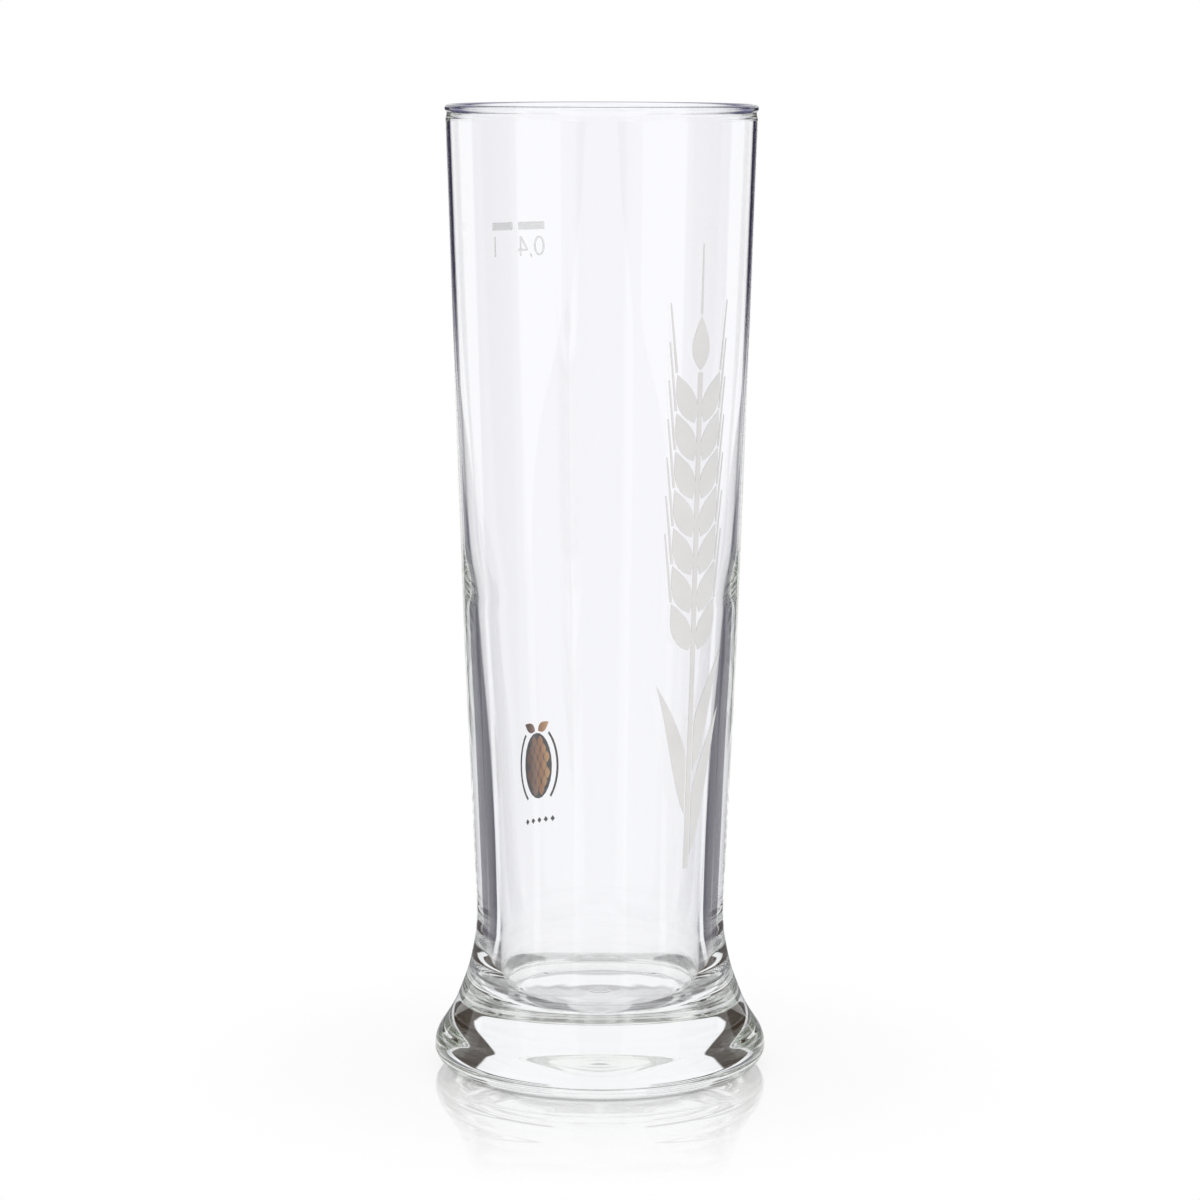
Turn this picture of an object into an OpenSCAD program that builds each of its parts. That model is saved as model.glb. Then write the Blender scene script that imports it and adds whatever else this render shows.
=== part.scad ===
// Tall pilsner glass: one piece of clear glass with a heavy flared foot, a wall that
// thins at an inner shoulder, a fire-polished rim, and fired prints on its outside.
// Z is the axis of the glass, which stands on z = 0. Its front faces -Y.

/* [Outside of the glass] */
// Height of the glass
glass_h = 213; // [190:1:240]
// Outer diameter of the rim
rim_d = 68.2; // [62:0.2:76]
// Thickness of the round rim
rim_t = 1.7; // [1.5:0.1:2.6]
// How far the rim stands proud of the wall outside
rim_proud = 0.15; // [0.05:0.05:0.4]
// Outer diameter where the lower taper meets the upper one
belly_d = 60.2; // [57:0.2:64]
// Height where the lower taper meets the upper one
belly_h = 95; // [80:1:115]
// Outer diameter of the waist, the narrowest place
waist_d = 54.9; // [50:0.2:58]
// Height of the waist
waist_h = 35.6; // [28:0.1:45]

/* [Foot] */
// Largest diameter of the foot
foot_d = 73.8; // [68:0.2:80]
// Height of the widest ring of the foot
foot_edge_h = 4.7; // [3:0.1:7]
// Radius of the rounding above the widest ring
foot_shoulder_r = 7; // [5:0.1:12]
// Width of the rounding below the widest ring
foot_round_w = 6.4; // [3:0.1:8]
// Width of the flat ring that the glass stands on
stand_ring_w = 2.4; // [1.5:0.1:4]
// Height of the hollow under the foot
punt_h = 1.6; // [0.5:0.1:3]

/* [Wall and cavity] */
// Height of the cavity's floor at its middle
floor_h = 12.6; // [9:0.1:16]
// Radius of the bowl that makes the cavity's floor
floor_bowl_r = 60; // [45:1:90]
// Radius of the corner between floor and wall
floor_corner_r = 3.6; // [2:0.1:6]
// Wall thickness at the waist
wall_low_t = 4.9; // [4:0.05:6]
// Wall thickness at the foot of the inner shoulder
wall_shoulder_t = 3.05; // [2.8:0.05:3.8]
// Wall thickness at the top of the inner shoulder
wall_upper_t = 1.85; // [1.5:0.05:2.4]
// Wall thickness just below the rim
wall_lip_t = 1.05; // [0.9:0.05:1.4]
// Height of the foot of the inner shoulder
shoulder_low_h = 104; // [98:1:110]
// Height of the top of the inner shoulder
shoulder_top_h = 118; // [113:1:125]

/* [Fill mark, back left] */
// Thickness of every print
print_t = 0.1; // [0.08:0.01:0.2]
// Turn of the fill mark about the axis, from the front
mark_angle = 216.3; // [190:0.5:240]
// How far the upper edge of the fill bars lies below the rim
fill_drop = 26.7; // [22:0.1:45]
// Height of a fill bar's stroke
bar_stroke = 1.8; // [1:0.1:2.5]
// Length of the right-hand fill bar
bar_right_w = 6.3; // [4:0.1:7]
// Length of the left-hand fill bar
bar_left_w = 6.8; // [4:0.1:7]
// Space between the two fill bars
bar_space = 1.6; // [1:0.1:3]
// Height of the figures
figure_h = 4.5; // [3:0.1:6]
// Width of a figure
figure_w = 2.7; // [2:0.1:3.2]
// Stroke of the figures
figure_stroke = 0.5; // [0.3:0.05:0.7]
// Space between the fill bars and the figures
figure_drop = 1.4; // [0.8:0.1:3]
// Space between two figures
figure_space = 0.55; // [0.4:0.05:1]

/* [Barley print, front right] */
// Turn of the barley print about the axis, from the front
barley_angle = 41; // [25:0.5:60]
// Length of bare stalk below the lowest leaf blade
stalk_foot_l = 3; // [2:0.5:6]
// Height of the stalk's upper end
stalk_top_h = 157; // [150:1:166]
// Width of the stalk
stalk_w = 1.3; // [0.8:0.1:2]
// Height of the lowest pair of grains
grain_low_h = 97; // [94:1:104]
// Length of a grain
grain_l = 11.6; // [8:0.1:14]
// Width of a grain
grain_w = 4.9; // [3:0.1:5.5]
// Height from one pair of grains to the next
grain_pitch = 8.2; // [7.8:0.1:12]
// Clear space between the stalk and what grows from it
grain_gap = 0.35; // [0.2:0.05:0.8]
// Length of an awn
awn_l = 15; // [10:0.5:20]
// Width of an awn at its foot
awn_w = 0.6; // [0.4:0.05:0.9]
// Length of the longest leaf blade
blade_l = 32; // [26:0.5:36]
// Width of a leaf blade
blade_w = 4.2; // [3:0.1:4.6]
// How far a leaf blade leans out
blade_reach = 8; // [7:0.1:8.4]
// Clear height between the highest leaf tip and the ear
ear_gap = 1; // [0.5:0.1:3]

/* [Hop print, back left] */
// Turn of the hop print about the axis, from the front
hop_angle = 215; // [195:0.5:225]
// Height of the middle of the hop cone
hop_h = 62.6; // [58:0.1:68]
// Height of the hop cone's dark ground
cone_l = 14.4; // [11:0.1:15]
// Width of the hop cone's dark ground
cone_w = 8.8; // [8:0.1:9.4]
// Length of one scale of the cone
scale_l = 2.7; // [2:0.1:2.8]
// Width of one scale of the cone
scale_w = 1.7; // [1:0.05:1.75]
// Width of the two arcs beside the cone, outside to outside
frame_w = 12.6; // [11.5:0.1:13.5]
// Height of the oval that the two arcs belong to
frame_h = 18.4; // [17:0.1:20]
// Stroke of the two arcs
frame_stroke = 0.55; // [0.4:0.05:0.8]
// Height of the row of lozenges below the cone
lozenge_h = 50.6; // [49:0.1:52]
// Size of one lozenge
lozenge_w = 1.3; // [0.8:0.1:1.6]
// Space between two lozenges
lozenge_space = 0.8; // [0.4:0.1:1]

/* [Hidden] */
$fn = 96;

rim_r = rim_d / 2;
belly_r = belly_d / 2;
waist_r = waist_d / 2;
foot_r = foot_d / 2;

// The rim is a full round. Its middle, and the height where the wall runs into it
rim_mid = [rim_r - rim_t / 2, glass_h - rim_t / 2];
lip_r = rim_r - rim_proud;
rim_out_angle = acos((lip_r - rim_mid.x) / (rim_t / 2));
lip_h = rim_mid.y - rim_t / 2 * sin(rim_out_angle);
rim_in_angle = acos((rim_mid.x - (lip_r - wall_lip_t)) / (rim_t / 2));

// Outer radius of the wall between waist and rim, two straight tapers
function wall_r(z) =
    z < belly_h
        ? waist_r + (belly_r - waist_r) * (z - waist_h) / (belly_h - waist_h)
        : belly_r + (lip_r - belly_r) * (z - belly_h) / (lip_h - belly_h);

// The flare is a hollow arc that leaves the waist upright and runs into the rounding
// above the widest ring, both meeting at one tangent
flare_w = foot_r - waist_r;
flare_h = waist_h - foot_edge_h;
flare_r = flare_w / 2 + pow(flare_h, 2) / (2 * flare_w) - foot_shoulder_r;
flare_angle = asin(flare_h / (flare_r + foot_shoulder_r));
stand_r = foot_r - foot_round_w;
stand_in_r = stand_r - stand_ring_w;
punt_r = (pow(stand_in_r, 2) + pow(punt_h, 2)) / (2 * punt_h);
punt_angle = asin(stand_in_r / punt_r);

// Inner wall: thickness by height, easing out below the shoulder, across it and above it
low_slope = -2 * (wall_low_t - wall_shoulder_t) / (shoulder_low_h - waist_h);
top_slope = -3 * (wall_upper_t - wall_lip_t) / (lip_h - shoulder_top_h);
shoulder_l = shoulder_top_h - shoulder_low_h;
function thick_below(s) = wall_low_t - (wall_low_t - wall_shoulder_t) * pow(s, 2);
function thick_across(s) =
    wall_shoulder_t * (2 * pow(s, 3) - 3 * pow(s, 2) + 1)
    + low_slope * shoulder_l * (pow(s, 3) - 2 * pow(s, 2) + s)
    + wall_upper_t * (3 * pow(s, 2) - 2 * pow(s, 3))
    + top_slope * shoulder_l * (pow(s, 3) - pow(s, 2));
function thick_above(s) = wall_lip_t + (wall_upper_t - wall_lip_t) * pow(1 - s, 3);

// Cavity: a shallow bowl, a round corner and the wall
cavity_low_r = waist_r - wall_low_t;
bowl_mid_h = floor_h + floor_bowl_r;
corner_mid_r = cavity_low_r - floor_corner_r;
bowl_angle = asin(corner_mid_r / (floor_bowl_r - floor_corner_r));
corner_mid_h = bowl_mid_h - (floor_bowl_r - floor_corner_r) * cos(bowl_angle);

// Number of steps in each round stretch of the outline
arc_steps = 12;
wall_steps = 6;

function arc(mid, r, from, to) = [
    for (i = [0 : arc_steps])
        let (a = from + (to - from) * i / arc_steps)
            mid + r * [cos(a), sin(a)]
];
function inner_wall(low, high, skip) = [
    for (i = [skip : wall_steps])
        let (s = i / wall_steps, z = low + (high - low) * s)
            [z, s]
];

outside_points = concat(
    [for (p = arc([0, punt_h - punt_r], punt_r, 90, 90 - punt_angle)) p],
    [for (i = [0 : arc_steps])
        let (a = 90 - 90 * i / arc_steps)
            [stand_r + foot_round_w * cos(a), foot_edge_h * (1 - sin(a))]],
    [for (i = [1 : arc_steps])
        let (a = flare_angle * i / arc_steps)
            [foot_r - foot_shoulder_r + foot_shoulder_r * cos(a),
             foot_edge_h + foot_shoulder_r * sin(a)]],
    [for (i = [1 : arc_steps])
        let (a = flare_angle * (1 - i / arc_steps))
            [waist_r + flare_r * (1 - cos(a)), waist_h - flare_r * sin(a)]],
    [[belly_r, belly_h]],
    arc(rim_mid, rim_t / 2, -rim_out_angle, 180 + rim_in_angle)
);
inside_points = concat(
    [for (p = arc([0, bowl_mid_h], floor_bowl_r, -90, -90 + bowl_angle)) p],
    [for (i = [1 : arc_steps])
        let (a = -90 + bowl_angle + (90 - bowl_angle) * i / arc_steps)
            [corner_mid_r + floor_corner_r * cos(a), corner_mid_h + floor_corner_r * sin(a)]],
    [for (p = inner_wall(waist_h, shoulder_low_h, 0)) [wall_r(p[0]) - thick_below(p[1]), p[0]]],
    [for (p = inner_wall(shoulder_low_h, shoulder_top_h, 1)) [wall_r(p[0]) - thick_across(p[1]), p[0]]],
    [for (p = inner_wall(shoulder_top_h, lip_h, 1)) if (p[1] < 1) [wall_r(p[0]) - thick_above(p[1]), p[0]]]
);

// Prints: a thin skin on the outer wall, cut to a flat outline that faces the turn given
print_depth = rim_d;

// Fill mark
fill_h = glass_h - fill_drop;
bars_w = bar_left_w + bar_space + bar_right_w;
figure_top_h = fill_h - bar_stroke - figure_drop;
figure_low_h = figure_top_h - figure_h;

// Barley print: shares of the piece that each detail belongs to
grain_pairs = floor((stalk_top_h - grain_low_h) / grain_pitch);
grain_lean = 24;
awn_lean = 7;
outline_steps = 8;
oval_steps = 24;
blade_steps = 12;
blades = 3;
blade_pitch_share = 0.29;
blade_shrink_share = 0.1;
blade_curve = 1.7;
grain_belly_share = 0.8;
blade_belly_share = 0.7;
blades_l = blade_l * (1 + (blades - 1) * (blade_pitch_share - blade_shrink_share));
blade_low_h = grain_low_h - ear_gap - blades_l;
stalk_low_h = blade_low_h - stalk_foot_l;

// Hop print: scales in each row of the cone, from its top
cone_rows = [2, 3, 4, 3, 4, 3, 2];
cone_pitch_share = 0.1215;
cone_column_share = 0.22;
frame_angle = 52;
leaf_l_share = 0.26;
leaf_w_share = 0.24;
leaf_lean = 62;
leaf_out_share = 0.06;
leaf_up_share = 0.47;
lozenges = 5;

// A skin on the wall from one height to another
module wall_skin(low, high) {
    rotate_extrude()
        polygon(concat(
            [[wall_r(low), low], [wall_r(low) + print_t, low]],
            low < belly_h && high > belly_h ? [[belly_r + print_t, belly_h]] : [],
            [[wall_r(high) + print_t, high], [wall_r(high), high]],
            low < belly_h && high > belly_h ? [[belly_r, belly_h]] : []
        ));
}

// The flat outline given as child, laid on the wall; its x runs to the right seen from outside
module printed(turn, low, high) {
    intersection() {
        wall_skin(low, high);
        rotate([0, 0, turn]) rotate([90, 0, 0]) linear_extrude(print_depth) children();
    }
}

// A pointed oval that rises from the origin, fullest where its belly share puts it
module pointed_oval(l, w, belly_share) {
    side = [for (i = [1 : outline_steps - 1])
        let (s = i / outline_steps) [w / 2 * sin(180 * pow(s, belly_share)), l * s]];
    polygon(concat(
        [[0, 0]],
        side,
        [[0, l]],
        [for (i = [len(side) - 1 : -1 : 0]) [-side[i].x, side[i].y]]
    ));
}

// An oval about the origin
module oval(w, h) {
    polygon([for (i = [0 : oval_steps - 1])
        let (a = 360 * i / oval_steps) [w / 2 * cos(a), h / 2 * sin(a)]]);
}

module glass_body() {
    color("lightcyan", 0.5)
        rotate_extrude()
            polygon(concat(
                outside_points,
                [for (i = [len(inside_points) - 1 : -1 : 0]) inside_points[i]]
            ));
}

module fill_line() {
    color("gainsboro")
        printed(mark_angle, fill_h - 2 * bar_stroke, fill_h + bar_stroke)
            translate([-bars_w / 2, fill_h - bar_stroke]) {
                square([bar_left_w, bar_stroke]);
                translate([bar_left_w + bar_space, 0]) square([bar_right_w, bar_stroke]);
            }
}

module figure_zero() {
    translate([figure_w / 2, figure_h / 2]) difference() {
        oval(figure_w, figure_h);
        oval(figure_w - 2 * figure_stroke, figure_h - 2 * figure_stroke);
    }
}

module figure_comma() {
    polygon([
        [0, -figure_stroke], [figure_stroke, 0],
        [figure_stroke, figure_stroke], [0, figure_stroke]
    ]);
}

module figure_four() {
    bar_h = figure_h / 4;
    stem_x = figure_w - 2 * figure_stroke;
    difference() {
        polygon([
            [stem_x, 0], [stem_x + figure_stroke, 0], [stem_x + figure_stroke, bar_h],
            [figure_w, bar_h], [figure_w, bar_h + figure_stroke],
            [stem_x + figure_stroke, bar_h + figure_stroke], [stem_x + figure_stroke, figure_h],
            [stem_x, figure_h], [0, bar_h + figure_stroke], [0, bar_h], [stem_x, bar_h]
        ]);
        polygon([
            [stem_x, bar_h + figure_stroke], [stem_x, figure_h - 2 * figure_stroke],
            [figure_stroke, bar_h + figure_stroke]
        ]);
    }
}

module capacity_figures() {
    step = figure_w + figure_space;
    comma_step = figure_stroke + figure_space;
    color("gainsboro")
        printed(mark_angle, figure_low_h - 2 * figure_stroke, figure_top_h + figure_stroke)
            translate([-bars_w / 2, figure_low_h]) {
                figure_zero();
                translate([step, 0]) figure_comma();
                translate([step + comma_step, 0]) figure_four();
                translate([bars_w - 2 * figure_stroke, 0]) square([figure_stroke, figure_h]);
            }
}

module barley_stalk() {
    color("whitesmoke")
        printed(barley_angle, stalk_low_h - stalk_w, stalk_top_h + stalk_w)
            translate([-stalk_w / 2, stalk_low_h]) square([stalk_w, stalk_top_h - stalk_low_h]);
}

// One leaf blade that leans out from the stalk and tapers to its tip
module blade(l) {
    function mid(s) = [blade_reach * pow(s, blade_curve), l * s];
    function half(s) = blade_w / 2 * sin(180 * pow(s, blade_belly_share));
    foot = [stalk_w / 2 + grain_gap, 0];
    polygon(concat(
        [for (i = [0 : blade_steps]) let (s = i / blade_steps)
            foot + mid(s) + [half(s), 0]],
        [for (i = [blade_steps - 1 : -1 : 1]) let (s = i / blade_steps)
            foot + [max(0, mid(s).x - half(s)), mid(s).y]]
    ));
}

module barley_leaves() {
    color("whitesmoke")
        printed(barley_angle, stalk_low_h, stalk_top_h)
            for (i = [0 : blades - 1])
                translate([0, blade_low_h + i * blade_pitch_share * blade_l])
                    mirror([i % 2, 0, 0]) blade(blade_l * (1 - i * blade_shrink_share));
}

// The first child goes beside the stalk in pairs, and the second on its top
module ear() {
    for (i = [0 : grain_pairs - 1], side = [0, 1])
        mirror([side, 0, 0])
            translate([stalk_w / 2 + 2 * grain_gap, grain_low_h + i * grain_pitch])
                rotate(-grain_lean) children(0);
    translate([0, stalk_top_h + grain_gap]) children(1);
}

module grain() {
    pointed_oval(grain_l, grain_w, grain_belly_share);
}

// A bristle that tapers to half its width, turned by the angle given at a grain's tip
module awn(turn) {
    translate([0, grain_l + grain_gap])
        rotate(turn)
            polygon([[-awn_w / 2, 0], [awn_w / 2, 0], [awn_w / 4, awn_l], [-awn_w / 4, awn_l]]);
}

module barley_grains() {
    color("whitesmoke")
        printed(barley_angle, grain_low_h - grain_l, stalk_top_h + 2 * grain_l)
            ear() {
                grain();
                grain();
            }
}

module barley_awns() {
    color("whitesmoke")
        printed(barley_angle, grain_low_h, stalk_top_h + grain_l + 2 * awn_l)
            ear() {
                awn(grain_lean - awn_lean);
                awn(0);
            }
}

module cone_scales() {
    rows = len(cone_rows);
    for (row = [0 : rows - 1], i = [0 : cone_rows[row] - 1])
        translate([
            (i - (cone_rows[row] - 1) / 2) * cone_column_share * cone_w,
            ((rows - 1) / 2 - row) * cone_pitch_share * cone_l + scale_l / 2
        ])
            rotate(180) pointed_oval(scale_l, scale_w, 1);
}

module hop_print(low, high) {
    printed(hop_angle, hop_h + low, hop_h + high) translate([0, hop_h]) children();
}

module hop_ground() {
    color("saddlebrown")
        hop_print(-cone_l, cone_l)
            difference() {
                oval(cone_w, cone_l);
                cone_scales();
            }
}

module hop_scales() {
    color("peru") hop_print(-cone_l, cone_l) cone_scales();
}

module hop_leaves() {
    color("peru")
        hop_print(0, cone_l)
            for (side = [0, 1])
                mirror([side, 0, 0])
                    translate([leaf_out_share * cone_w, (leaf_up_share + leaf_out_share) * cone_l])
                        rotate(-leaf_lean)
                            pointed_oval(leaf_l_share * cone_l, leaf_w_share * cone_w, grain_belly_share);
}

module emblem_arcs() {
    color("saddlebrown")
        hop_print(-frame_h, frame_h)
            for (side = [0, 1])
                mirror([side, 0, 0])
                    polygon(concat(
                        [for (i = [0 : blade_steps]) let (a = frame_angle * (2 * i / blade_steps - 1))
                            [frame_w / 2 * cos(a), frame_h / 2 * sin(a)]],
                        [for (i = [blade_steps : -1 : 0]) let (a = frame_angle * (2 * i / blade_steps - 1))
                            [(frame_w / 2 - frame_stroke) * cos(a), (frame_h / 2 - frame_stroke) * sin(a)]]
                    ));
}

module emblem_lozenges() {
    color("saddlebrown")
        printed(hop_angle, lozenge_h - lozenge_w, lozenge_h + lozenge_w)
            for (i = [0 : lozenges - 1])
                translate([(i - (lozenges - 1) / 2) * (lozenge_w + lozenge_space), lozenge_h])
                    polygon([
                        [-lozenge_w / 2, 0], [0, -lozenge_w / 2],
                        [lozenge_w / 2, 0], [0, lozenge_w / 2]
                    ]);
}

glass_body();
fill_line();
capacity_figures();
barley_stalk();
barley_leaves();
barley_grains();
barley_awns();
hop_ground();
hop_scales();
hop_leaves();
emblem_arcs();
emblem_lozenges();
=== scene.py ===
import math

import bpy
import numpy as np
from mathutils import Matrix


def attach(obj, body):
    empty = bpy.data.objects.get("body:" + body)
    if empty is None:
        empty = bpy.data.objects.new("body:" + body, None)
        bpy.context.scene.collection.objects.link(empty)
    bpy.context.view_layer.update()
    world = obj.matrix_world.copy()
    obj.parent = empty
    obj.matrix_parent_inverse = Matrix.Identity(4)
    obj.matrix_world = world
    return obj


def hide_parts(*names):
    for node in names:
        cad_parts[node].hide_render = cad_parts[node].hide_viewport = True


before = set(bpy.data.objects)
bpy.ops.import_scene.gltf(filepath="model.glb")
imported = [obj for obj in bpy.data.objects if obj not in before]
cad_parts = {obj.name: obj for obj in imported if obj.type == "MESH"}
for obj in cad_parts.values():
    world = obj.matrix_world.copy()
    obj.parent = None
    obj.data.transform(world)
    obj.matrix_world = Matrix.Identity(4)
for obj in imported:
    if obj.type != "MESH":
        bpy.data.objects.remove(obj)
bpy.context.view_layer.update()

# The glass: one piece of clear soda-lime glass, machine made in a mould, with a heavy
# flared foot, a wall that thins at an inner shoulder and a rim that is melted round.
# Its outline is drawn as a line of edges and spun about the axis of the glass.
mm = 0.001
# Points on the outline are pairs of mm from the axis and mm above the ground.
PUNT = [(0.0, 1.60), (7.0, 1.50), (14.0, 1.20), (20.0, 0.78), (25.0, 0.30), (27.2, 0.06)]
FOOT = [
    (28.4, 0.0), (30.3, 0.0), (32.1, 0.16), (33.7, 0.63), (34.9, 1.28), (35.62, 1.86),
    (35.90, 2.16), (35.99, 2.34), (35.95, 2.50), (36.14, 2.64), (36.40, 2.97), (36.70, 3.66),
    (36.86, 4.7), (36.60, 6.45), (35.97, 8.16), (35.00, 9.70), (32.86, 13.1), (31.10, 17.07),
    (29.68, 21.2), (28.58, 25.5), (27.82, 29.9), (27.50, 33.6), (27.50, 37.0), (27.66, 40.5),
]
LOWER_WALL = [(27.45, 35.6), (30.1, 95.0)]
UPPER_WALL = [(30.1, 95.0), (33.95, 211.67)]
WALL_HEIGHTS = [
    44, 48, 54, 62, 72, 82, 90, 94, 98, 106, 118, 132, 148, 164, 180, 194, 204, 208, 209.3, 209.7,
]
PRINT_GAP = 0.015
NECK = [(33.88, 210.0), (33.77, 210.3), (33.69, 210.7), (33.66, 211.05), (33.70, 211.35)]
RIM_MID = (33.24, 212.15)
RIM_R = 0.84
RIM_ANGLES = [-34, -8, 18, 44, 72, 100, 128, 156, 184, 212]
# The wall's thickness is given as pairs of mm above the ground and mm through the wall.
THICKNESS = [
    (211.2, 1.26), (210.8, 1.10), (210.2, 1.02), (207, 1.02), (198, 1.05), (184, 1.07), (168, 1.13),
    (152, 1.27), (138, 1.48), (128, 1.66), (121.5, 1.78), (118, 1.85), (115.5, 1.94), (113, 2.10),
    (110.5, 2.34), (108, 2.60), (105.5, 2.84), (102.5, 3.02), (98, 3.26), (92, 3.52), (84, 3.86),
    (75, 4.22), (65, 4.50), (55, 4.66), (46, 4.78), (38, 4.90),
]
CAVITY = [
    (22.40, 33.0), (22.45, 30.5), (22.54, 28.0), (22.64, 25.5), (22.72, 23.3), (22.72, 21.6),
    (22.60, 20.2), (22.32, 19.0), (21.88, 17.95), (21.28, 17.1), (20.50, 16.35), (19.60, 15.75),
    (18.80, 15.25),
]
FLOOR_Z = 12.5
FLOOR_DISH, DISH_R = 2.35, 18
FLOOR_EDGE, FLOOR_STEP = 18.2, 0.65
RIPPLE, RIPPLE_PITCH = 0.04, 4.6
MARK_R, MARK_WIDTH, MARK_RISE = 1.9, 0.45, 0.12
CAGE_STEPS = 46
SMOOTH_LEVELS = 2
WELD = 0.01 * mm


def wall_radius(z):
    """The wall's outside radius, a hair less than that of the prints on it."""
    (r0, z0), (r1, z1) = LOWER_WALL if z < UPPER_WALL[0][1] else UPPER_WALL
    return r0 + (r1 - r0) * (z - z0) / (z1 - z0) - PRINT_GAP


def floor_height(r):
    """The floor inside the glass: a shallow dish with cooling ripples and a small round mould mark."""
    ripple = RIPPLE * math.cos(2 * math.pi * r / RIPPLE_PITCH)
    mark = MARK_RISE * math.exp(-((r - MARK_R) / MARK_WIDTH) ** 2)
    return FLOOR_Z + FLOOR_DISH * (r / DISH_R) ** 2 + ripple + mark


def outline():
    """The points from under the foot, up the outside, over the rim and down the inside to the floor."""
    outside = [(wall_radius(z), z) for z in WALL_HEIGHTS]
    rim = [(RIM_MID[0] + RIM_R * math.cos(a), RIM_MID[1] + RIM_R * math.sin(a))
           for a in np.radians(RIM_ANGLES)]
    inside = [(wall_radius(z) - t, z) for z, t in THICKNESS]
    floor = [(r, floor_height(r)) for r in np.arange(FLOOR_EDGE, -FLOOR_STEP / 2, -FLOOR_STEP)]
    return PUNT + FOOT + outside + NECK + rim + inside + CAVITY + floor


def cage(points):
    """The points to draw, in metres, so that the smoothed surface runs through the points given."""
    wanted = np.array(points)
    one = np.eye(len(wanted))
    pull = (4 * one + np.eye(len(wanted), k=1) + np.eye(len(wanted), k=-1)) / 6
    pull[0], pull[-1] = one[0], one[-1]
    drawn = np.linalg.solve(pull, wanted)
    # Smoothing draws a ring of straight edges inwards, so the ring is drawn that much wider.
    drawn[:, 0] *= 3 / (2 + math.cos(2 * math.pi / CAGE_STEPS))
    return drawn * mm


def spun(name, points):
    """The line through the points, drawn edge by edge, spun about the axis and smoothed."""
    bpy.ops.object.select_all(action="DESELECT")
    bpy.ops.mesh.primitive_plane_add(size=mm, location=(points[0][0], 0, points[0][1]))
    piece = bpy.context.object
    piece.name = piece.data.name = name
    bpy.ops.object.mode_set(mode="EDIT")
    bpy.ops.mesh.select_all(action="SELECT")
    bpy.ops.mesh.merge(type="CENTER")
    for (x0, z0), (x1, z1) in zip(points, points[1:]):
        bpy.ops.mesh.extrude_vertices_move(TRANSFORM_OT_translate={"value": (x1 - x0, 0, z1 - z0)})
    bpy.ops.mesh.select_all(action="SELECT")
    bpy.ops.mesh.spin(steps=CAGE_STEPS, angle=2 * math.pi, center=(0, 0, 0), axis=(0, 0, 1))
    bpy.ops.mesh.select_all(action="SELECT")
    bpy.ops.mesh.remove_doubles(threshold=WELD)
    bpy.ops.mesh.normals_make_consistent(inside=False)
    bpy.ops.object.mode_set(mode="OBJECT")
    bpy.ops.object.transform_apply(location=True, rotation=True, scale=True)
    smoothing = piece.modifiers.new("smooth", "SUBSURF")
    smoothing.levels = smoothing.render_levels = SMOOTH_LEVELS
    bpy.ops.object.modifier_apply(modifier=smoothing.name)
    bpy.ops.object.shade_smooth()
    return piece


def material(name):
    """A new material, its node tree and its main shader."""
    made = bpy.data.materials.new(name)
    made.use_nodes = True
    return made, made.node_tree, made.node_tree.nodes["Principled BSDF"]


def feed(node, inputs):
    """Gives each named input of the node a plain value, or links it to another node's output."""
    for name, value in inputs.items():
        if isinstance(value, bpy.types.NodeSocket):
            node.id_data.links.new(value, node.inputs[name])
        else:
            node.inputs[name].default_value = value


def add(tree, kind, inputs=None, **settings):
    """A new node of that kind, set up and fed. Returns its outputs."""
    node = tree.nodes.new("ShaderNode" + kind)
    for name, value in settings.items():
        setattr(node, name, value)
    feed(node, inputs or {})
    return node.outputs


def number(operation, *values):
    """A sum on node outputs and plain numbers, of which one at least is an output."""
    tree = next(value.id_data for value in values if isinstance(value, bpy.types.NodeSocket))
    return add(tree, "Math", dict(enumerate(values)), operation=operation)["Value"]


def rise(value, low, high, start=0.0, end=1.0):
    """A soft step from start to end, while the value goes from low to high."""
    inputs = {"Value": value, "From Min": low, "From Max": high, "To Min": start, "To Max": end}
    return add(value.id_data, "MapRange", inputs, interpolation_type="SMOOTHSTEP")["Result"]


def blend(share, colour, other):
    """The first colour where the share is 0 and the other where it is 1."""
    # Blender's Mix node keeps its colours in inputs 6 and 7 and in output 2.
    return add(share.id_data, "Mix", {0: share, 6: colour, 7: other}, data_type="RGBA")[2]


GLASS_IOR = 1.52
GLASS_TINT, TINT_DENSITY = (0.89, 0.94, 0.85, 1), 4
WHITE = (1, 1, 1, 1)
RIM_Z = (210.9 * mm, 211.4 * mm)
RIM_SLANT = (0.32, 0.6)
RIM_PAINTED_SHADE_TONE = (0.02, 0.02, 0.06, 1)
glass = spun("pilsner_glass_body", cage(outline()))
clear, tree, shader = material("clear_soda_lime_glass")
# Painted shade: the fire-polished rim's edge is painted darker where it is seen at a slant, in place of
# the dark room that its bends would see.
height = add(tree, "SeparateXYZ", {"Vector": add(tree, "TexCoord")["Object"]})["Z"]
slant = add(tree, "LayerWeight")["Facing"]
painted_rim_shade = number("MULTIPLY", rise(height, *RIM_Z), rise(slant, *RIM_SLANT))
feed(shader, {"Transmission Weight": 1, "Roughness": 0, "IOR": GLASS_IOR,
              "Base Color": blend(painted_rim_shade, WHITE, RIM_PAINTED_SHADE_TONE)})
tint = add(tree, "VolumeAbsorption", {"Color": GLASS_TINT, "Density": TINT_DENSITY})["Volume"]
feed(tree.nodes["Material Output"], {"Volume": tint})
glass.data.materials.append(clear)
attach(glass, "root")
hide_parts("glass_body")

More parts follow.
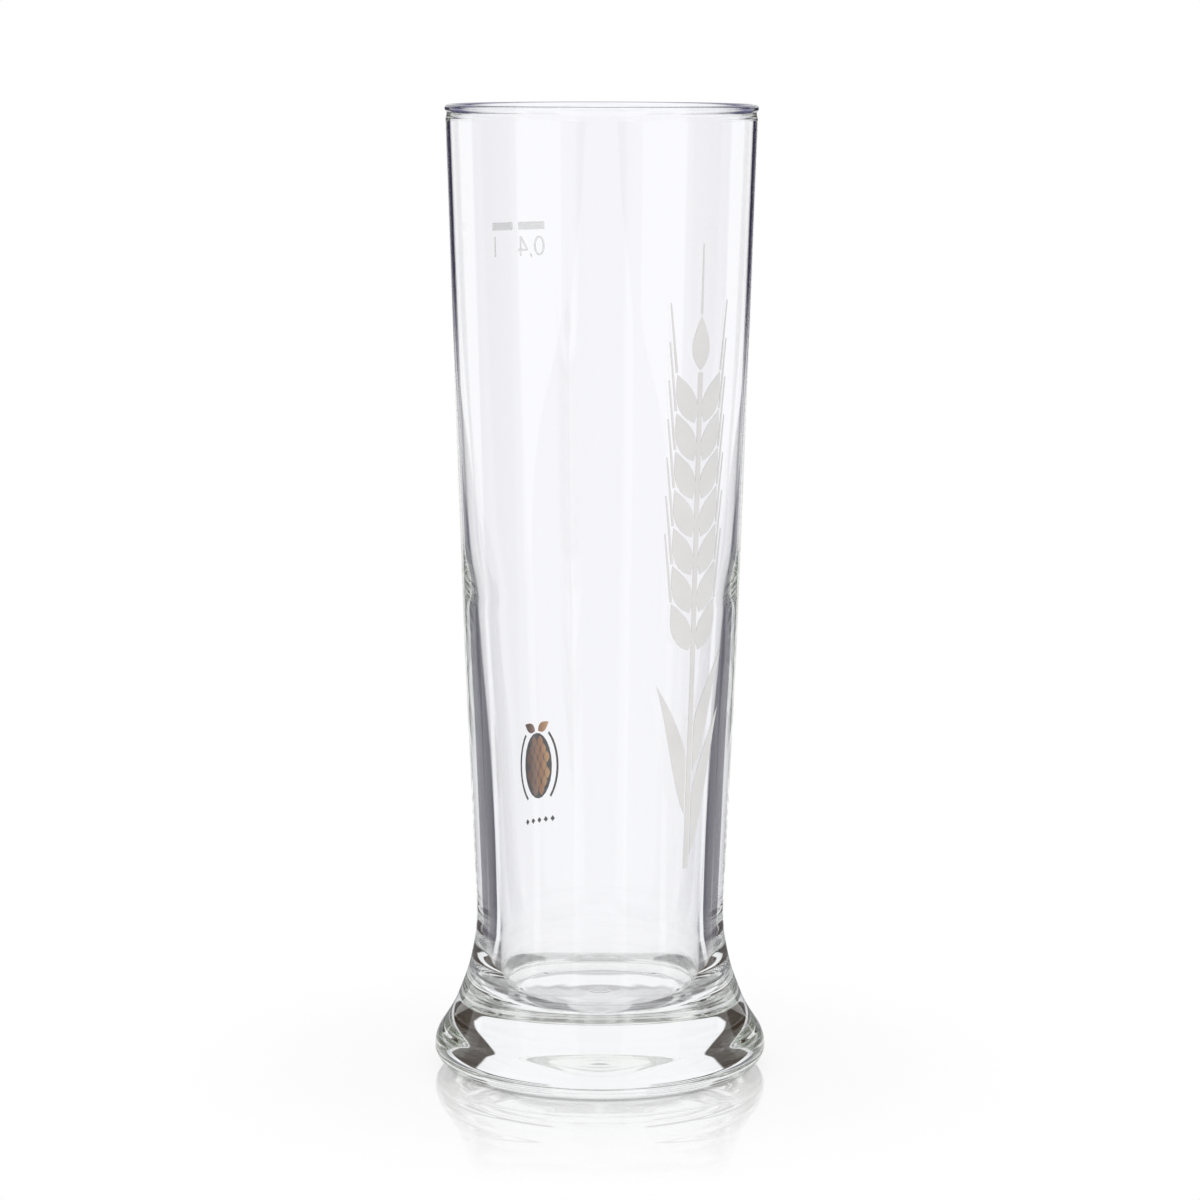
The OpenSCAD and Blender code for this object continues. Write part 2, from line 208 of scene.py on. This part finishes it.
# The barley print: pale warm grey enamel, screen printed on the outside of the wall and
# fired. It is thin, so a little light comes through, and the screen left it grainy.
GRAIN_SIZE, GRAIN_DETAIL = 0.35 * mm, 3
CLOUD_SIZE, CLOUD_DETAIL = 9 * mm, 2
GRAIN_RANGE = (0.6, 1.4)
RELIEF, RELIEF_DEPTH = 0.35, 0.02 * mm
# Painted shade: the pale enamel is painted a little darker towards the right, where less light falls on
# the print.
PALE_WITH_PAINTED_SHADE = [(10, (0.81, 0.80, 0.79)), (27, (0.745, 0.74, 0.735))]


def noise(place, size, detail):
    """Soft random spots of about that size."""
    return add(place.id_data, "TexNoise", {"Vector": place, "Scale": 1 / size, "Detail": detail})["Fac"]


def enamel(name, stops, grain_share, roughness, metallic=0.0, alpha=1.0, grain_size=GRAIN_SIZE):
    """Fired enamel: colours at stops in mm from left to right, varied by the grain of the screen."""
    made, tree, shader = material(name)
    place = add(tree, "TexCoord")["Object"]
    across = add(tree, "SeparateXYZ", {"Vector": place})["X"]
    left, right = stops[0][0], stops[-1][0]
    ends = {"From Min": left * mm, "From Max": right * mm}
    share = add(tree, "MapRange", {"Value": across, **ends})["Result"]
    colour = add(tree, "ValToRGB", {"Fac": share})["Color"]
    elements = colour.node.color_ramp.elements
    for x, shade in stops[1:-1]:
        elements.new((x - left) / (right - left))
    for element, (x, shade) in zip(elements, stops):
        element.color = (*shade, 1)
    grain = noise(place, grain_size, GRAIN_DETAIL)
    both = number("ADD", grain, noise(place, CLOUD_SIZE, CLOUD_DETAIL))
    tone = add(tree, "MapRange", {
        "Value": both, "From Min": GRAIN_RANGE[0], "From Max": GRAIN_RANGE[1],
        "To Min": 1 - grain_share, "To Max": 1 + grain_share,
    })["Result"]
    paint = add(tree, "VectorMath", {0: colour, "Scale": tone}, operation="SCALE")["Vector"]
    relief = add(tree, "Bump", {"Height": grain, "Strength": RELIEF, "Distance": RELIEF_DEPTH})["Normal"]
    feed(shader, {"Base Color": paint, "Normal": relief, "Roughness": roughness, "Metallic": metallic,
                  "Alpha": alpha})
    return made


pale = enamel("pale_fired_enamel", PALE_WITH_PAINTED_SHADE, grain_share=0.05, roughness=0.5, alpha=0.92)
for name in ("barley_stalk", "barley_leaves", "barley_grains", "barley_awns"):
    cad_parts[name].data.materials[0] = pale

# The fill mark, two bars over the capacity's figures, is on the far side of the glass and
# is seen from its back, through the wall. It is fired enamel too, but in a whiter, thinner
# coat that the daylight behind it comes through.
LINE_WHITE = [(-26, (0.93, 0.93, 0.91)), (-12, (0.97, 0.97, 0.95))]
line_coat = enamel("white_fill_line_enamel", LINE_WHITE, grain_share=0.03, roughness=0.5, alpha=0.3)
for name in ("fill_line", "capacity_figures"):
    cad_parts[name].data.materials[0] = line_coat

# The hop print: copper coloured lustre for the scales and leaves, in a dark brown ground,
# with dark arcs and lozenges round it. The lustre is fired last and keeps a metal sheen.
# Painted shade and sheen: the lustre is painted near black at the left and bright gold at the right, as
# light falls across the emblem.
LUSTRE_WITH_PAINTED_SHADE = [
    (-20.5, (0.05, 0.02, 0.012)), (-18, (0.24, 0.09, 0.035)), (-15.5, (0.55, 0.24, 0.08)),
    (-13, (0.95, 0.55, 0.20)),
]
LUSTRE_GRAIN_SIZE = 0.22 * mm
# The dark brown ground is also painted darker towards the left.
DARK_BROWN = [(-22, (0.004, 0.003, 0.003)), (-10, (0.03, 0.012, 0.007))]
copper = enamel("copper_lustre", LUSTRE_WITH_PAINTED_SHADE, grain_share=0.18, roughness=0.4, metallic=0.7,
                grain_size=LUSTRE_GRAIN_SIZE)
for name in ("hop_scales", "hop_leaves"):
    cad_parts[name].data.materials[0] = copper
dark = enamel("dark_brown_enamel", DARK_BROWN, grain_share=0.25, roughness=0.6)
for name in ("hop_ground", "emblem_arcs", "emblem_lozenges"):
    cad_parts[name].data.materials[0] = dark

# The table: a glossy white top, which mirrors the foot of the glass softly and fades out.
# Farther off it is a lit white top with a grey room behind it, as bends in glass see it.
FLOOR_R, FLOOR_SIDES = 6.0, 96
GLOSS_ROUGHNESS = 0.02
MIRROR, MIRROR_REACH = 0.36, (0.030, 0.100)
GLOW_SHARE, LIT_REACH = 0.6, (0.050, 0.105)
CONTACT_IN, CONTACT_OUT, CONTACT_SHADE = (0.0295, 0.0305), (0.0325, 0.0345), 0.4
CONTACT_SHADOW_TONE = (0.02, 0.02, 0.02, 1)
# Screens and flags lie between directions in degrees off the room's front or back, and
# change with the reach, which is the distance in metres from the axis of the glass. Rays
# that no wall has mirrored see the near screens wider.
SCREEN_NEAR, SCREEN_FAR, SCREEN_REACH, SCREEN_SOFT = 25, 11.5, (0.9, 2.2), 0.8
SCREEN_WIDER = 25
FLAG_NEAR, FLAG_FAR, FLAG_REACH, FLAG_SOFT = 60, 30.5, (0.45, 1.2), 1
FLAG_GREY, FLAG_DARK, GREY_REACH = 0.19, 0.03, (0.7, 1.4)
FLAG_FADE, FLAG_FADED = (28, 50), 0.5
SIDE_FLAG = (65, 69)
ROOF_LEVEL, ROOF_SIDE = 0.5, (10, 32)
# Gloss sees the light dip a little ahead and at the sides, and near the back what bends see.
DIP, DIP_SIDE, DIP_EVERY = 0.6, (17, 21), 45
BACK_COSINE = (0.35, 0.6)
# A ray that has flown this many metres from the glass unmirrored sees the table plain white.
OPEN_FLIGHT = (0.2, 0.3)
LIT_TINT = (0.965, 0.965, 1, 1)
FLAG_TINT = (0.007, 0.002, 0.030, 1)


def inverse(share):
    """What the share leaves of 1."""
    return number("SUBTRACT", 1, share)


def at_least(count, times):
    """1 where the count has come to that many times, or else 0."""
    return number("GREATER_THAN", count, times - 0.5)


def seen_by(x, y, screen_edge, flag_edge, flag_level, wider=0.0, overhead=0.0, flown=0.0):
    """What a ray from the glass sees towards x, y. Only bends and gloss see the screens and dark flags."""
    path = add(x.id_data, "LightPath")
    unmirrored = inverse(at_least(path["Glossy Depth"], 1))
    second_wall = at_least(path["Transmission Depth"], 3)
    bent = number("MULTIPLY", at_least(path["Transmission Depth"], 1), inverse(second_wall))
    straight = number("MULTIPLY", number("MAXIMUM", second_wall, flown), unmirrored)
    turn = number("ARCTAN2", x, y)
    off = number("DEGREES", number("PINGPONG", number("ABSOLUTE", turn), math.radians(90)))
    screen_edge = number("ADD", screen_edge, number("MULTIPLY", unmirrored, wider))
    past_screen = rise(number("SUBTRACT", off, screen_edge), -SCREEN_SOFT, SCREEN_SOFT)
    before_end = rise(number("SUBTRACT", off, flag_edge), -FLAG_SOFT, FLAG_SOFT, 1, 0)
    flag = number("MAXIMUM", number("MULTIPLY", past_screen, before_end), rise(off, *SIDE_FLAG))
    level = number("MULTIPLY", flag_level, rise(off, *FLAG_FADE, 1, FLAG_FADED))
    in_bends = inverse(number("MULTIPLY", flag, inverse(level)))
    in_gloss = rise(number("PINGPONG", off, DIP_EVERY), *DIP_SIDE, DIP, 1)
    bends_share = number("MAXIMUM", bent, rise(number("COSINE", turn), *BACK_COSINE))
    side = number("ADD", number("MULTIPLY", bends_share, in_bends),
                  number("MULTIPLY", inverse(bends_share), in_gloss))
    roof = inverse(number("MULTIPLY", overhead, rise(off, *ROOF_SIDE, 1 - ROOF_LEVEL, 0)))
    unscattered = inverse(at_least(path["Diffuse Depth"], 1))
    sharp = number("MAXIMUM", path["Is Glossy Ray"], path["Is Transmission Ray"])
    share = number("MULTIPLY", unscattered, number("MULTIPLY", sharp, inverse(straight)))
    return number("ADD", number("MULTIPLY", share, number("MULTIPLY", side, roof)), inverse(share))


def tinted(level, tint):
    """The level as a colour, from the tint of the flags to white, which is a little cool through glass."""
    path = add(level.id_data, "LightPath")
    unscattered = inverse(at_least(path["Diffuse Depth"], 1))
    through_glass = number("MULTIPLY", path["Is Transmission Ray"], unscattered)
    return blend(level, tint, blend(through_glass, WHITE, LIT_TINT))


bpy.ops.object.select_all(action="DESELECT")
bpy.ops.mesh.primitive_circle_add(
    vertices=FLOOR_SIDES, radius=FLOOR_R, fill_type="NGON", location=(0, 0, 0))
table = bpy.context.object
table.name = "table"
surface, tree, shader = material("glossy_white_table")
tree.nodes.remove(shader)
place = add(tree, "TexCoord")["Object"]
reach = add(tree, "VectorMath", {0: place}, operation="LENGTH")["Value"]
flat = add(tree, "SeparateXYZ", {"Vector": place})
path = add(tree, "LightPath")
seen = seen_by(flat["X"], flat["Y"],
               screen_edge=rise(reach, *SCREEN_REACH, SCREEN_NEAR, SCREEN_FAR),
               flag_edge=rise(reach, *FLAG_REACH, FLAG_NEAR, FLAG_FAR),
               flag_level=rise(reach, *GREY_REACH, FLAG_GREY, FLAG_DARK),
               wider=rise(reach, *SCREEN_REACH, SCREEN_WIDER, 0),
               flown=rise(path["Ray Length"], *OPEN_FLIGHT))
glow = add(tree, "Emission", {"Color": tinted(seen, FLAG_TINT)})["Emission"]
white = add(tree, "BsdfDiffuse", {"Color": WHITE})["BSDF"]
gloss = add(tree, "BsdfGlossy", {"Color": WHITE, "Roughness": GLOSS_ROUGHNESS})["BSDF"]
# Painted contact shadow: a dark ring painted on the table where the foot's rounding comes down to it,
# which rays through the glass don't see.
painted_contact_shadow = add(tree, "BsdfDiffuse", {"Color": CONTACT_SHADOW_TONE})["BSDF"]
ring = number("MULTIPLY", rise(reach, *CONTACT_IN), rise(reach, *CONTACT_OUT, CONTACT_SHADE, 0))
ring = number("MULTIPLY", ring, inverse(path["Is Transmission Ray"]))
lit = add(tree, "MixShader", {0: rise(reach, *LIT_REACH, GLOW_SHARE, 1), 1: white, 2: glow})["Shader"]
top = add(tree, "MixShader", {0: rise(reach, *MIRROR_REACH, MIRROR, 0), 1: lit, 2: gloss})["Shader"]
shaded = add(tree, "MixShader", {0: ring, 1: top, 2: painted_contact_shadow})["Shader"]
feed(tree.nodes["Material Output"], {"Surface": shaded})
surface.cycles.emission_sampling = "NONE"
table.data.materials.append(surface)

# Light: white all round and overhead, at a plain level. Above the table's far edge the bends
# in the glass see the dark room between four narrow screens, up to where the roof is lit.
ROOM_TINT = (0.03, 0.017, 0.008, 1)
BACKDROP, BACKDROP_SCREEN, BACKDROP_FLAG = (2, 7), 36, 58
ROOF = (46, 58)
world = bpy.data.worlds.new("studio")
bpy.context.scene.world = world
world.use_nodes = True
tree = world.node_tree
tree.nodes.clear()
towards = add(tree, "SeparateXYZ", {"Vector": add(tree, "TexCoord")["Generated"]})
height = number("ARCSINE", towards["Z"])
backdrop = rise(height, *map(math.radians, BACKDROP))
screen_edge, flag_edge = (number("ADD", far, number("MULTIPLY", backdrop, high - far))
                          for far, high in ((SCREEN_FAR, BACKDROP_SCREEN), (FLAG_FAR, BACKDROP_FLAG)))
seen = seen_by(towards["X"], towards["Y"], screen_edge, flag_edge, FLAG_DARK,
               overhead=rise(height, *map(math.radians, ROOF)))
light = add(tree, "Background", {"Color": tinted(seen, ROOM_TINT)})["Background"]
add(tree, "OutputWorld", {"Surface": light})

# Light goes through many walls and edges before it leaves the glass, so rays may go on for long.
scene = bpy.context.scene
scene.view_settings.view_transform = "Standard"
scene.cycles.max_bounces = 96
scene.cycles.diffuse_bounces = 4
scene.cycles.glossy_bounces = 80
scene.cycles.transmission_bounces = 48
scene.cycles.transparent_max_bounces = 16

# The camera stands 0.85 m in front of the glass, a little above its rim, and looks a little
# down, so that the rim is seen almost edge-on and the foot from somewhat above.
IMAGE = 1200
FOCAL_PIXELS = 3896.6
SENSOR = 36
STAND = (-0.00016, -0.8499, 0.2278)
TILT_DOWN = 8.2506
ROLL = 0.113
CLIP_NEAR = 0.01
camera = bpy.data.cameras.new("camera")
camera.sensor_width = SENSOR
camera.lens = FOCAL_PIXELS / IMAGE * SENSOR
camera.clip_start = CLIP_NEAR
viewer = bpy.data.objects.new("camera", camera)
viewer.location = STAND
aim = Matrix.Rotation(math.radians(90 - TILT_DOWN), 4, "X") @ Matrix.Rotation(math.radians(ROLL), 4, "Z")
viewer.rotation_euler = aim.to_euler()
scene.collection.objects.link(viewer)
scene.camera = viewer
